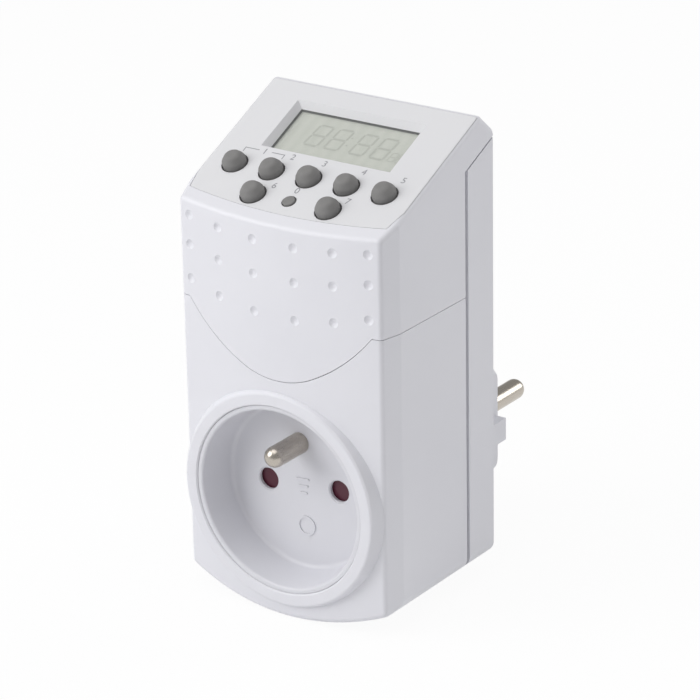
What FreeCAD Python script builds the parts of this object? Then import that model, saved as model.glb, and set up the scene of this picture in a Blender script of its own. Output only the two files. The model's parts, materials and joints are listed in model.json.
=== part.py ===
"""Plug in timer switch: a socket with a tilted control panel and a plug on its back.

X runs to the right, Y to the back and Z up. The origin is on the wall plane, at the plug's centre.
"""
import FreeCAD, Part
import math
import os
from FreeCAD import Vector

# Control panel, measured in the panel's own plane, up the slope from its reference line
panel_tilt = 25.0
panel_margin = 0.5
panel_front_margin = 3.1
panel_gap = 0.12
panel_thickness = 1.5
ledge_width = 1.6
window_width = 33.4
window_height = 15.2
window_low = 15.3           # reference line to the window's lower edge
window_high = 5.91          # window's upper edge to the ridge
window_bevel = 1.2
lens_overlap = 0.8
lens_thickness = 0.6
glass_thickness = 1.7
glass_gap = 0.1
frame_wall = 1.2
tilt = math.radians(panel_tilt)
slope = math.tan(tilt)
window_centre = window_low + window_height / 2
panel_run = (window_low + window_height + window_high) * math.cos(tilt)

# Case
ridge_depth = 4.6           # wall to the ridge behind the panel
reference_depth = ridge_depth + panel_run
front_overhang = 5.8        # the panel's reference line to the foremost point of the bulged front
body_depth = reference_depth + front_overhang
corner_depth = 7.7          # foremost point to the front end of the side walls
side_depth = body_depth - corner_depth
body_width = 54.4
half_width = body_width / 2
corner_inset = 1.1          # the bevelled front corners narrow the front by this much on each side
bulge_rise = 2.2            # how far the front bulges past its bevelled corners
front_corner_depth = body_depth - bulge_rise
front_half_width = half_width - corner_inset
body_bottom = 22.0          # side walls' lower edge below the plug's centre
bottom_sag = 6.0            # the arched underside falls this much further
wall = 2.0
panel_wall = 2.4
edge_round = 1.2
corner_round = 1.2
bottom_round = 3.0          # between the side walls and the arched underside
seam_gap = 0.15
panel_rise = 83.3           # height at which the panel's plane meets the wall plane
back_slope = 6.1            # how much lower the slope behind the ridge meets the wall plane
back_slope_foot = panel_rise - back_slope

# Split between the front pieces and the rear shell
split_depth = 9.8
groove_width = 1.1
fine_gap = 0.45             # the split's sloping part is only a fine seam
split_drop = 12.9           # how much lower the groove turns parallel to the panel
split_top = panel_rise - split_drop
lip_length = 3.0
lip_rise = 1.6              # how far the lip reaches past the sloping part
lip_thickness = 1.2
lip_gap = 0.1

# Socket ring, which fills the front between its bevelled corners
ring_corner_gap = 0.1
ring_foot_radius = front_half_width - ring_corner_gap
ring_flare = 1.3
ring_radius = ring_foot_radius - ring_flare
ring_round = 0.8
ring_proud = 0.8            # how far the ring's front plane stands past the bulged front
ring_front = body_depth + ring_proud
ring_land = 2.9
mouth_radius = ring_radius - ring_land
mouth_chamfer = 0.3

# Curved seam between the upper cover and the lower housing
seam_clearance = 3.2        # ring to the seam's lowest point
seam_sag = 14.0
seam_end_gap = 2.3          # bevelled corner to the curve's end
seam_low = ring_radius + seam_clearance
seam_height = seam_low + seam_sag
seam_half_span = front_half_width - seam_end_gap

# Dimples in the upper cover
dimple_radius = 1.1
dimple_ball = 1.5
dimple_corner_gap = 2.7     # bevelled corner to the outermost dimples
dimple_columns = (5.35, 15.0, front_half_width - dimple_corner_gap)
dimple_drops = (4.16, 11.96, 20.56)     # each row below the panel's foremost edge
dimple_row_rise = (1.6, 2.7, 3.5)       # how much higher the outermost dimple of each row stands

# Keys
key_radius = 2.8
key_hole_gap = 0.25
key_pitch = 9.75
key_row_upper = 8.6
key_row_lower = 1.1
key_height = 2.7
key_tip_radius = 1.2
key_tip_drop = 0.5
key_skirt = 0.9
key_flange_radius = 3.4
key_flange_thickness = 0.7
key_travel = 0.8
key_stem_radius = 1.6
key_mat_gap = 0.3
reset_radius = 1.45
reset_x = -0.4
reset_up = 1.2
reset_height = 0.35
reset_flange_radius = 2.1

# Boards
mat_thickness = 0.8
board_thickness = 1.6
control_board_play = 2.2    # side walls to the control board
control_board_width = body_width - 2 * (wall + control_board_play)
control_board_low = -3.0
control_board_depth = 7.5   # panel face to the board's back
control_board_back = 6.8    # wall to the board's upper edge
control_board_high = (reference_depth - control_board_back) / math.cos(tilt) - control_board_depth * slope
power_board_play = 3.2      # side walls to the power board
power_board_width = body_width - 2 * (wall + power_board_play)
power_board_bottom = 26.5
power_board_drop = 25.3     # panel's height at the wall plane to the power board's upper edge
power_board_top = panel_rise - power_board_drop
power_board_depth = 15.0    # wall to the board's rear face
post_radius = 2.0

# Parts on the control board
strip_width = 2.0
chip_size = 9.0
chip_height = 1.3
chip_stand = 0.2
chip_low = 4.0              # lower edge of the chip up the slope
chip_legs = 9
leg_width = 0.35
leg_reach = 0.9
leg_rise = 0.5
crystal_radius = 1.5
crystal_length = 6.2
crystal_x = -12.0
cell_radius = 5.9
cell_height = 5.0
cell_round = 0.6
cell_x = 13.0

# Parts on the power board
header_pitch = 2.54
header_pins = 6
header_pin = 0.64
header_drop = 6.0           # upper edge of the board to the header's foot
relay_left = -19.0
relay_rise = 2.0            # lower edge of the board to the relay
relay_width = 19.0
relay_height = 15.0
relay_depth = 15.0
film_left = 3.0
film_rise = 3.0
film_width = 6.0
film_height = 13.0
film_depth = 11.0
can_x = 15.0
can_rise = 9.0
can_radius = 4.0
can_length = 12.0
block_round = 0.5
varistor_x = 12.5
varistor_rise = 19.0
varistor_radius = 3.5
varistor_thickness = 3.0
varistor_stand = 4.0        # board to the disc's centre
varistor_leg_radius = 0.3
varistor_leg_pitch = 5.0
fuse_x = -15.0
fuse_rise = 20.0
fuse_radius = 2.6
fuse_length = 6.0

# Socket
cup_lip_set_back = 0.4
cup_lip_round = 0.6
cup_lip_width = 1.2
cup_mouth_radius = mouth_radius - cup_lip_width
cup_draft = 1.2
cup_floor_radius = cup_mouth_radius - cup_draft
cup_floor_round = 1.1
cup_shoulder = 1.0
cup_outer_radius = mouth_radius + cup_shoulder
cup_depth = 9.8             # ring plane to the cup's floor
cup_floor_thickness = 1.0
cup_turn = 4.3              # the cup stands turned by this many degrees
pin_pitch = 19.0
pin_radius = 2.4
hole_radius = 2.5
hole_dish = 0.3
earth_offset = 10.0
earth_pin_length = 11.4
mark_height = 0.25          # the faint marks on the floor: bars that shorten downwards, and a ring
mark_width = 0.4
mark_bars = 3
mark_bar_length = 3.4
mark_bar_step = 0.8
mark_bar_pitch = 1.6
mark_bar_top = 1.5
mark_ring_radius = 2.3
mark_ring_drop = 9.5

# Shutter and contacts behind the cup
shutter_gap = 0.25
shutter_thickness = 1.6
shutter_height = 8.0
shutter_travel = 6.0
shutter_rim = 0.8
shutter_rail = 1.2
shutter_stop_inset = 1.4    # cup's outside to the spring's stop
shutter_stop = cup_outer_radius - shutter_stop_inset
spring_wire = 0.2
spring_radius = 0.7
spring_turns = 4
carrier_gap = 0.3
carrier_depth = 11.0
carrier_width = 34.0
carrier_height = 16.0
contact_height = 6.0
contact_wall = 0.7
contact_grip = 0.05         # play between a contact's blades and a plug pin
contact_depth = 8.5
strap_width = 5.0
strap_thickness = 0.7

# Plug
plug_length = 19.6
plug_radius = 19.5
plug_flat = 15.7            # centre to the flat sides
plug_rib_reach = 3.0
plug_rib_low = 4.0
plug_rib_high = 1.3
plug_pin_length = 19.0
plug_earth_hole_radius = 2.6
plug_earth_hole_depth = 15.0
pin_shank_radius = 2.0
pin_head_radius = 3.4
pin_head_height = 1.2
pin_tail = 3.0
clip_width = 7.0
clip_thickness = 0.8
clip_length = 15.0
clip_place = 18.0           # centre to the underside of the clips
clip_play = 0.3

# Screws
screw_side = 5.6            # side walls' outside to the screws
screw_x = half_width - screw_side
screw_rise = 9.0            # side walls' lower edge to the lower screws
screw_low = screw_rise - body_bottom
screw_drop = 29.8           # panel's height at the wall plane to the upper screws
screw_high = panel_rise - screw_drop
screw_radius = 1.1
screw_head_radius = 2.3
screw_head_height = 1.6
screw_length = 15.0
screw_play = 0.15
screw_slot = 0.5
boss_wall = 1.0

# Derived places
far = 4 * body_width
cup_floor = ring_front - cup_depth
cup_back = cup_floor - cup_floor_thickness
shutter_front = cup_back - shutter_gap
shutter_back = shutter_front - shutter_thickness
carrier_front = shutter_back - carrier_gap
carrier_back = carrier_front - carrier_depth
mat_top = -control_board_depth + board_thickness + mat_thickness
board_top = -control_board_depth + board_thickness
lens_back = -panel_thickness - lens_thickness
glass_back = lens_back - glass_gap - glass_thickness
power_board_front = power_board_depth + board_thickness
shutter_left = -(pin_pitch / 2 + shutter_travel + hole_radius + shutter_rim)
shutter_right = pin_pitch / 2 + hole_radius + shutter_rim
pin_tail_depth = wall + pin_head_height + pin_tail
strap_front = pin_tail_depth + strap_thickness
contact_back = carrier_front - contact_depth
key_places = [(column * key_pitch, key_row_upper) for column in (-2, -1, 0, 1, 2)]
key_places += [(column * key_pitch, key_row_lower) for column in (-1, 1)]


# Helpers

def box(x0, x1, y0, y1, z0, z1):
    """A box between two corners."""
    return Part.makeBox(x1 - x0, y1 - y0, z1 - z0, Vector(x0, y0, z0))


def rod(radius, length, base, direction):
    """A cylinder from base along direction."""
    return Part.makeCylinder(radius, length, base, direction)


def prism(edges, direction):
    """The solid that a closed outline sweeps along direction."""
    return Part.Face(Part.Wire(edges)).extrude(direction)


def outline(points):
    """Straight edges through the points, closed."""
    return [Part.LineSegment(a, b).toShape() for a, b in zip(points, points[1:] + points[:1])]


def arc(a, b, c):
    """An arc edge through three points."""
    return Part.Arc(a, b, c).toShape()


def plane_height(depth, inset=0.0):
    """Height of the panel's plane, or of a plane inset below it, at a depth before the wall."""
    return panel_rise - depth * slope - inset / math.cos(tilt)


def on_panel(shape):
    """Place a shape drawn flat, with x, slope and outward axes, on the tilted panel."""
    placed = shape.copy()
    placed.rotate(Vector(0, 0, 0), Vector(1, 0, 0), panel_tilt)
    placed.translate(Vector(0, -reference_depth, plane_height(reference_depth)))
    return placed


def turned(shape):
    """Turn a shape with the socket's cup."""
    placed = shape.copy()
    placed.rotate(Vector(0, 0, 0), Vector(0, -1, 0), cup_turn)
    return placed


def sharp_edges(solid):
    """The edges where two faces meet at an angle."""
    found = []
    for edge in solid.Edges:
        middle = edge.valueAt((edge.FirstParameter + edge.LastParameter) / 2)
        normals = [face.normalAt(*face.Surface.parameter(middle)) for face in solid.ancestorsOfType(edge, Part.Face)]
        if len(normals) == 2 and abs(normals[0].dot(normals[1])) < math.cos(math.radians(5)):
            found.append(edge)
    return found


def write(name, shape):
    """Export one sub-part."""
    shape.exportStep(f"parts/{name}.step")


# Case

def plan_outline(inset):
    """The case from above, drawn in by inset."""
    side = half_width - inset
    corner = side - corner_inset
    front = -(front_corner_depth - inset)
    points = [Vector(corner, front, 0), Vector(side, -side_depth, 0), Vector(side, -inset, 0),
              Vector(-side, -inset, 0), Vector(-side, -side_depth, 0), Vector(-corner, front, 0)]
    straight = [Part.LineSegment(a, b).toShape() for a, b in zip(points, points[1:])]
    return straight + [arc(points[-1], Vector(0, -(body_depth - inset), 0), points[0])]


def body_solid(inset, top_inset):
    """The case's outer form, drawn in by inset, and by top_inset under the panel."""
    plan = prism(plan_outline(inset), Vector(0, 0, far))
    plan.translate(Vector(0, 0, -far / 2))
    ridge = ridge_depth + inset
    side_points = [Vector(0, 0, -far / 4), Vector(0, -inset, back_slope_foot - inset),
                   Vector(0, -ridge, plane_height(ridge, top_inset)),
                   Vector(0, -far / 2, plane_height(far / 2, top_inset)), Vector(0, -far / 2, -far / 4)]
    side = prism(outline(side_points), Vector(far, 0, 0))
    side.translate(Vector(-far / 2, 0, 0))
    low = Vector(0, 0, -(body_bottom + bottom_sag) + inset)
    ends = [Vector(x, 0, -body_bottom + inset) for x in (-half_width, half_width)]
    tops = [Vector(x, 0, far / 2) for x in (half_width, -half_width)]
    edges = [arc(ends[0], low, ends[1])]
    edges += [Part.LineSegment(a, b).toShape() for a, b in ((ends[1], tops[0]), (tops[0], tops[1]), (tops[1], ends[0]))]
    front = prism(edges, Vector(0, -far, 0))
    if inset < bottom_round:
        front = front.makeFillet(bottom_round - inset, [edge for edge in front.Edges if edge.BoundBox.YLength > far / 2
                                                        and edge.BoundBox.ZMax < 0])
    return plan.common(side).common(front)


def rear_region(forward, upward):
    """The space behind the split, moved forward, and upward along its sloping part."""
    depth = split_depth + forward
    turn = split_top + upward - slope * forward
    points = [Vector(-far / 2, far / 4, -far / 2), Vector(-far / 2, -depth, -far / 2), Vector(-far / 2, -depth, turn),
              Vector(-far / 2, far / 4, turn + slope * (depth + far / 4))]
    return prism(outline(points), Vector(far, 0, 0))


def seam_region(offset):
    """The space above the curved seam, raised by offset."""
    def on_curve(x):
        rise = (seam_height - seam_low) * (x / seam_half_span) ** 2
        return Vector(x, far / 4, seam_low + offset + rise)
    steps = [on_curve(seam_half_span * k / 3) for k in (-3, -2, -1, 0, 1, 2, 3)]
    edges = [arc(steps[0], steps[1], steps[2]), arc(steps[2], steps[3], steps[4]), arc(steps[4], steps[5], steps[6])]
    level = seam_height + offset
    corners = [steps[-1], Vector(far / 2, far / 4, level), Vector(far / 2, far / 4, far / 2),
               Vector(-far / 2, far / 4, far / 2), Vector(-far / 2, far / 4, level), steps[0]]
    edges += [Part.LineSegment(a, b).toShape() for a, b in zip(corners, corners[1:])]
    return prism(edges, Vector(0, -far, 0))


def rounded_body():
    """The case's outer form with its rounded edges."""
    outer = body_solid(0, 0)
    return outer.makeFillet(corner_round, [edge for edge in sharp_edges(outer) if edge.BoundBox.YMin < -lip_gap])


def case_wall():
    """The case's hollow wall, before it is split."""
    return rounded_body().cut(body_solid(wall, panel_wall))


def screw_places():
    """Plan positions of the four case screws."""
    return [(x, z) for x in (-screw_x, screw_x) for z in (screw_low, screw_high)]


def boss(x, z, front, back, bore):
    """A hollow screw boss along Y."""
    outer = rod(bore + boss_wall, front - back, Vector(x, -back, z), Vector(0, -1, 0))
    return outer.cut(rod(bore, front - back, Vector(x, -back, z), Vector(0, -1, 0)))


def rear_shell():
    """The rear half with its lip and the screw tubes."""
    shell = case_wall().common(rear_region(0, 0))
    inset = wall + lip_gap
    under_panel = panel_wall + lip_gap
    lip = body_solid(inset, under_panel).cut(body_solid(inset + lip_thickness, under_panel))
    behind = rear_region(-groove_width - lip_length, -lip_rise)
    lip = lip.common(rear_region(groove_width + lip_length, lip_rise)).cut(behind)
    root = body_solid(wall - lip_gap, under_panel).cut(body_solid(wall + lip_thickness, under_panel))
    root = root.common(rear_region(-groove_width, -fine_gap)).cut(behind)
    shell = shell.fuse([lip, root])
    play = screw_radius + screw_play
    for x, z in screw_places():
        shell = shell.fuse(rod(play + boss_wall + screw_play, split_depth - screw_play - wall / 2,
                               Vector(x, -wall / 2, z), Vector(0, -1, 0)))
        shell = shell.cut(rod(play, far, Vector(x, 0, z), Vector(0, -1, 0)))
        shell = shell.cut(rod(screw_head_radius + screw_play, screw_head_height + screw_play,
                              Vector(x, 0, z), Vector(0, -1, 0)))
    for x in (-power_board_width / 2 + 4 * post_radius, power_board_width / 2 - 4 * post_radius):
        for z in (power_board_bottom + 4 * post_radius, power_board_top - 4 * post_radius):
            shell = shell.fuse(rod(post_radius, power_board_depth - wall / 2, Vector(x, -wall / 2, z),
                                   Vector(0, -1, 0)))
    for x in (-pin_pitch / 2, pin_pitch / 2):
        shell = shell.cut(rod(pin_shank_radius + lip_gap, 2 * wall, Vector(x, wall, 0), Vector(0, -1, 0)))
    for side in (-1, 1):
        shell = shell.cut(clip_slot(side, wall))
    return shell.removeSplitter()


def clip_slot(side, depth):
    """The space of one earth clip through the rear wall, on the upper or lower side."""
    near = clip_place - clip_play
    low, high = sorted((side * near, side * (clip_place + clip_thickness + clip_play)))
    reach = clip_width / 2 + clip_play
    return box(-reach, reach, -depth - lip_gap, lip_gap, low, high)


def socket_ring():
    """The raised ring, flared towards its foot."""
    flare = Part.makeCone(ring_radius, ring_foot_radius, ring_front - front_corner_depth,
                          Vector(0, -ring_front, 0), Vector(0, 1, 0))
    flare = flare.makeFillet(ring_round, [edge for edge in flare.Edges if edge.BoundBox.YMax < -ring_front + lip_gap])
    return flare.fuse(rod(ring_radius, wall, Vector(0, -front_corner_depth, 0), Vector(0, 1, 0)))


def lower_front_housing():
    """The lower front with the socket ring, its bore and two screw bosses."""
    shape = case_wall().cut(rear_region(groove_width, fine_gap)).cut(seam_region(-seam_gap))
    shape = shape.fuse(socket_ring())
    bore = rod(cup_outer_radius + lip_gap, far, Vector(0, -ring_front + cup_lip_set_back + wall, 0), Vector(0, 1, 0))
    mouth = rod(mouth_radius, far, Vector(0, -far / 2, 0), Vector(0, 1, 0))
    lead = Part.makeCone(mouth_radius + mouth_chamfer, mouth_radius, mouth_chamfer,
                         Vector(0, -ring_front, 0), Vector(0, 1, 0))
    shape = shape.cut(bore).cut(mouth).cut(lead)
    for x in (-screw_x, screw_x):
        shape = shape.fuse(boss(x, screw_low, front_corner_depth - wall / 2, split_depth + screw_play, screw_radius
                                + screw_play))
    return shape.cut(rod(cup_outer_radius + lip_gap, cup_depth, Vector(0, -ring_front + cup_lip_set_back + wall, 0),
                         Vector(0, 1, 0))).removeSplitter()


def dimples():
    """The shallow round dimples of the upper cover."""
    balls = []
    sink = math.sqrt(dimple_ball ** 2 - dimple_radius ** 2)
    edge = plane_height(body_depth)
    for drop, rise in zip(dimple_drops, dimple_row_rise):
        for column in dimple_columns:
            depth = front_surface(column)
            z = edge - drop + rise * (column / dimple_columns[-1]) ** 2
            balls += [Part.makeSphere(dimple_ball, Vector(x, -depth - sink, z), Vector(0, -1, 0))
                      for x in (-column, column)]
    return balls


def front_surface(x):
    """Depth of the bulged front at a distance from the middle."""
    radius = (front_half_width ** 2 + bulge_rise ** 2) / (2 * bulge_rise)
    return body_depth - radius + math.sqrt(radius ** 2 - x ** 2)


def panel_plate(margin, top, bottom):
    """A plate that follows the panel's outline, between two levels below the panel's face."""
    plan = prism(plan_outline(margin), Vector(0, 0, far))
    front = plan.copy()
    front.translate(Vector(0, panel_front_margin - panel_margin, 0))
    slab = on_panel(box(-half_width, half_width, -far / 4, far / 4, bottom, top))
    back = box(-far / 2, far / 2, -far, -(ridge_depth + margin), 0, 2 * far)
    return plan.common(front).common(slab).common(back)


def upper_front_cover():
    """The upper front with its dimples, the panel's seat and two screw bosses."""
    shape = case_wall().cut(rear_region(groove_width, fine_gap)).common(seam_region(0))
    for dimple in dimples():
        shape = shape.cut(dimple)
    shape = shape.cut(panel_plate(panel_margin, far / 8, -panel_thickness))
    shape = shape.cut(panel_plate(panel_margin + ledge_width, far / 8, -far / 64))
    for x, up in key_places:
        shape = shape.cut(on_panel(rod(key_flange_radius + key_hole_gap, far / 64, Vector(x, up, -panel_thickness),
                                       Vector(0, 0, -1))))
    for x in (-screw_x, screw_x):
        shape = shape.fuse(boss(x, screw_high, front_corner_depth - wall / 2, split_depth + screw_play,
                                screw_radius + screw_play))
    return shape.removeSplitter()


# Control panel

def window_prism(width, height, top, bottom, grow=0.0):
    """The space of the display window, widening by grow towards its top."""
    def corners(level, extra):
        x = width / 2 + extra
        y = height / 2 + extra
        ring = [Vector(-x, window_centre - y, level), Vector(x, window_centre - y, level),
                Vector(x, window_centre + y, level), Vector(-x, window_centre + y, level)]
        return Part.Wire(outline(ring))
    return Part.makeLoft([corners(bottom, 0), corners(top, grow)], True, True)


def control_panel():
    """The tilted plate with its bevelled window and the key holes."""
    plate = panel_plate(panel_margin + panel_gap, 0, -panel_thickness).common(rounded_body())
    inner_width = window_width - 2 * window_bevel
    inner_height = window_height - 2 * window_bevel
    step = panel_gap
    ratio = (panel_thickness + 2 * step) / panel_thickness
    opening = window_prism(inner_width, inner_height, step, -panel_thickness - step, window_bevel * ratio)
    plate = plate.cut(on_panel(opening))
    for x, up in key_places:
        plate = plate.cut(on_panel(rod(key_radius + key_hole_gap, far / 8, Vector(x, up, -far / 16), Vector(0, 0, 1))))
    hole = rod(reset_radius + key_hole_gap, far / 8, Vector(reset_x, reset_up, -far / 16), Vector(0, 0, 1))
    return plate.cut(on_panel(hole))


def lcd_lens():
    """The clear window under the panel."""
    width = window_width - 2 * window_bevel + 2 * lens_overlap
    height = window_height - 2 * window_bevel + 2 * lens_overlap
    return on_panel(window_prism(width, height, -panel_thickness, lens_back))


def lcd_glass():
    """The display behind the lens."""
    return on_panel(window_prism(window_width, window_height, lens_back - glass_gap, glass_back))


def lcd_frame():
    """The frame between the display and the board."""
    outer = window_prism(window_width + 2 * frame_wall, window_height + 2 * frame_wall, lens_back - glass_gap, board_top)
    inner = window_prism(window_width + 2 * glass_gap, window_height + 2 * glass_gap, lens_back, board_top - wall)
    return on_panel(outer.cut(inner))


def zebra_strips():
    """Two rubber strips that join the display to the board."""
    strips = []
    for side in (-1, 1):
        centre = window_centre + side * (window_height - strip_width) / 2
        reach = window_width / 2 - strip_width
        strips.append(on_panel(box(-reach, reach, centre - strip_width / 2, centre + strip_width / 2,
                                   board_top, glass_back)))
    return Part.makeCompound(strips)


def key_shape(radius, height, flange_radius, domed):
    """A key with its cap, retaining flange and stem, drawn along the panel's normal."""
    flange_top = -panel_thickness
    flange_bottom = flange_top - key_flange_thickness
    stem_bottom = mat_top + key_travel + key_mat_gap
    points = [Vector(0, 0, stem_bottom), Vector(key_stem_radius if domed else reset_radius, 0, stem_bottom),
              Vector(key_stem_radius if domed else reset_radius, 0, flange_bottom),
              Vector(flange_radius, 0, flange_bottom), Vector(flange_radius, 0, flange_top), Vector(radius, 0, flange_top)]
    if domed:
        tip = Vector(0, 0, height)
        shoulder = Vector(radius, 0, key_skirt)
        dome = (key_tip_radius ** 2 + key_tip_drop ** 2) / (2 * key_tip_drop)
        rim = Vector(key_tip_radius, 0, height - key_tip_drop)
        middle = Vector(key_tip_radius / 2, 0, height - dome + math.sqrt(dome ** 2 - (key_tip_radius / 2) ** 2))
        points += [shoulder, rim]
        edges = [Part.LineSegment(a, b).toShape() for a, b in zip(points, points[1:])]
        edges += [arc(rim, middle, tip), Part.LineSegment(tip, points[0]).toShape()]
    else:
        points += [Vector(radius, 0, height), Vector(0, 0, height)]
        edges = outline(points)
    return Part.Face(Part.Wire(edges)).revolve(Vector(0, 0, 0), Vector(0, 0, 1), 360)


def placed_key(x, up, shape):
    """A key on the panel."""
    moved = shape.copy()
    moved.translate(Vector(x, up, 0))
    return on_panel(moved)


def keypad_mat():
    """The rubber mat under the keys."""
    return on_panel(box(-2 * key_pitch - key_flange_radius, 2 * key_pitch + key_flange_radius,
                        key_row_lower - key_flange_radius, key_row_upper + key_flange_radius, board_top, mat_top))


def control_board():
    """The board behind the panel."""
    return on_panel(box(-control_board_width / 2, control_board_width / 2, control_board_low, control_board_high,
                        -control_board_depth, board_top))


def microcontroller():
    """The chip on the back of the control board, with its two rows of legs."""
    back = -control_board_depth
    body = box(-chip_size / 2, chip_size / 2, chip_low, chip_low + chip_size, back - chip_stand - chip_height,
               back - chip_stand)
    legs = []
    pitch = chip_size / chip_legs
    for side in (-1, 1):
        inner, outer = sorted((side * (chip_size - leg_width) / 2, side * (chip_size / 2 + leg_reach)))
        for step in range(chip_legs):
            up = chip_low + (step + 0.5) * pitch - leg_width / 2
            legs.append(box(inner, outer, up, up + leg_width, back - leg_rise, back))
    return on_panel(body.fuse(legs))


def quartz_crystal():
    """The crystal's can on the back of the control board."""
    return on_panel(rod(crystal_radius, crystal_length, Vector(crystal_x, key_row_upper,
                                                               -control_board_depth - crystal_radius), Vector(0, 1, 0)))


def backup_battery():
    """The cell that keeps the clock running."""
    centre = Vector(cell_x, window_centre, -control_board_depth - cell_height)
    cell = rod(cell_radius, cell_height, centre, Vector(0, 0, 1))
    return on_panel(cell.makeFillet(cell_round, sharp_edges(cell)))


def board_header():
    """The row of pins that joins the two boards."""
    reach = header_pitch * header_pins / 2
    foot = power_board_top - header_drop
    body = box(-reach, reach, -power_board_front - header_pitch, -power_board_front, foot, foot + header_pitch)
    front = power_board_front + (header_pitch + header_pin) / 2
    top = plane_height(front, control_board_depth)
    pins = []
    for step in range(header_pins):
        left = -reach + (step + 0.5) * header_pitch - header_pin / 2
        pins.append(box(left, left + header_pin, -front, -front + header_pin, foot + header_pitch, top))
    return body.fuse(pins)


# Power board

def power_board():
    """The upright board behind the upper cover."""
    board = box(-power_board_width / 2, power_board_width / 2, -power_board_front, -power_board_depth,
                power_board_bottom, power_board_top)
    for x, z in screw_places():
        board = board.cut(rod(screw_radius + boss_wall + 4 * screw_play, far, Vector(x, 0, z), Vector(0, -1, 0)))
    return board


def block_on_board(left, rise, width, height, depth):
    """A block with rounded upright edges that stands on the power board's front."""
    low = power_board_bottom + rise
    block = box(left, left + width, -power_board_front - depth, -power_board_front, low, low + height)
    return block.makeFillet(block_round, [edge for edge in block.Edges if edge.BoundBox.YLength > depth / 2])


def relay():
    """The relay's block."""
    return block_on_board(relay_left, relay_rise, relay_width, relay_height, relay_depth)


def film_capacitor():
    """The mains capacitor's block."""
    return block_on_board(film_left, film_rise, film_width, film_height, film_depth)


def electrolytic_capacitor():
    """The smoothing capacitor's can."""
    can = rod(can_radius, can_length, Vector(can_x, -power_board_front, power_board_bottom + can_rise),
              Vector(0, -1, 0))
    return can.makeFillet(block_round, sharp_edges(can))


def varistor():
    """The varistor's disc on its two legs."""
    centre = Vector(varistor_x - varistor_thickness / 2, -power_board_front - varistor_stand,
                    power_board_bottom + varistor_rise)
    disc = rod(varistor_radius, varistor_thickness, centre, Vector(1, 0, 0))
    legs = [rod(varistor_leg_radius, varistor_stand, Vector(varistor_x, -power_board_front, centre.z + offset),
                Vector(0, -1, 0)) for offset in (-varistor_leg_pitch / 2, varistor_leg_pitch / 2)]
    return disc.fuse(legs)


def fuse():
    """The small fuse can."""
    return rod(fuse_radius, fuse_length, Vector(fuse_x, -power_board_front, power_board_bottom + fuse_rise),
               Vector(0, -1, 0))


# Socket

def socket_insert():
    """The cup with two pin holes, the earth pin's hole, marks and the shutter's rails."""
    lip = -ring_front + cup_lip_set_back
    floor = -cup_floor
    back = -cup_back
    outer = mouth_radius - lip_gap
    shoulder = lip + wall + lip_gap
    profile = [Vector(cup_mouth_radius, lip, 0), Vector(outer, lip, 0), Vector(outer, shoulder, 0),
               Vector(cup_outer_radius, shoulder, 0), Vector(cup_outer_radius, back, 0), Vector(0, back, 0),
               Vector(0, floor, 0), Vector(cup_floor_radius, floor, 0)]
    cup = Part.Face(Part.Wire(outline(profile))).revolve(Vector(0, 0, 0), Vector(0, 1, 0), 360)
    corner = [edge for edge in cup.Edges if abs(edge.BoundBox.YMin - floor) < 0.01 and edge.BoundBox.YLength < 0.01
              and abs(edge.BoundBox.XLength - 2 * cup_floor_radius) < 0.1]
    cup = cup.makeFillet(cup_floor_round, corner)
    rim = [edge for edge in cup.Edges if edge.BoundBox.YMax < lip + lip_gap
           and edge.BoundBox.XLength < 2 * cup_mouth_radius + lip_gap]
    cup = cup.makeFillet(cup_lip_round, rim)
    for x in (-pin_pitch / 2, pin_pitch / 2):
        cup = cup.cut(rod(hole_radius, far, Vector(x, -far / 2, 0), Vector(0, 1, 0)))
        cup = cup.cut(Part.makeCone(hole_radius + hole_dish, hole_radius, hole_dish, Vector(x, floor, 0), Vector(0, 1, 0)))
    cup = cup.cut(rod(pin_shank_radius + lip_gap / 2, far, Vector(0, -far / 2, earth_offset), Vector(0, 1, 0)))
    for side in (-1, 1):
        low, high = sorted((side * (shutter_height / 2 + lip_gap), side * (shutter_height / 2 + lip_gap + shutter_rail)))
        reach = pin_pitch / 2 + hole_radius
        cup = cup.fuse(box(-reach, reach, back, -carrier_front, low, high))
    stop = box(shutter_stop, shutter_stop + boss_wall, back, -shutter_back, -2 * spring_radius, 2 * spring_radius)
    cup = cup.fuse(stop)
    cup = cup.fuse(floor_marks(floor))
    return turned(cup)


def floor_marks(floor):
    """Faint moulded marks on the cup's floor: three bars and a ring."""
    marks = []
    near = floor - mark_height
    for step in range(mark_bars):
        half = (mark_bar_length - step * mark_bar_step) / 2
        centre = mark_bar_top - step * mark_bar_pitch
        marks.append(box(-half, half, near, floor + mark_height, centre - mark_width / 2, centre + mark_width / 2))
    ring = rod(mark_ring_radius, 2 * mark_height, Vector(0, near, -mark_ring_drop), Vector(0, 1, 0))
    ring = ring.cut(rod(mark_ring_radius - mark_width, far, Vector(0, -far / 2, -mark_ring_drop), Vector(0, 1, 0)))
    return marks + [ring]


def socket_earth_pin():
    """The earth pin: domed tip, a thinner shank through the floor and a flange behind it."""
    straight = earth_pin_length - pin_radius
    pin = rod(pin_radius, straight, Vector(0, -cup_floor, earth_offset), Vector(0, -1, 0))
    shank = rod(pin_shank_radius, cup_floor_thickness, Vector(0, -cup_back, earth_offset), Vector(0, -1, 0))
    tip = Part.makeSphere(pin_radius, Vector(0, -cup_floor - straight, earth_offset))
    flange = rod(pin_radius + boss_wall, shutter_gap + boss_wall, Vector(0, -cup_back, earth_offset), Vector(0, 1, 0))
    return turned(pin.fuse([shank, tip, flange]).removeSplitter())


def shutter_solid():
    """The sliding plate, which closes both holes at rest and opens them at the end of its travel."""
    plate = box(shutter_left, shutter_right, -shutter_front, -shutter_back, -shutter_height / 2, shutter_height / 2)
    for x in (-pin_pitch / 2, pin_pitch / 2):
        plate = plate.cut(rod(hole_radius, far, Vector(x - shutter_travel, -far / 2, 0), Vector(0, 1, 0)))
    return plate


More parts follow.
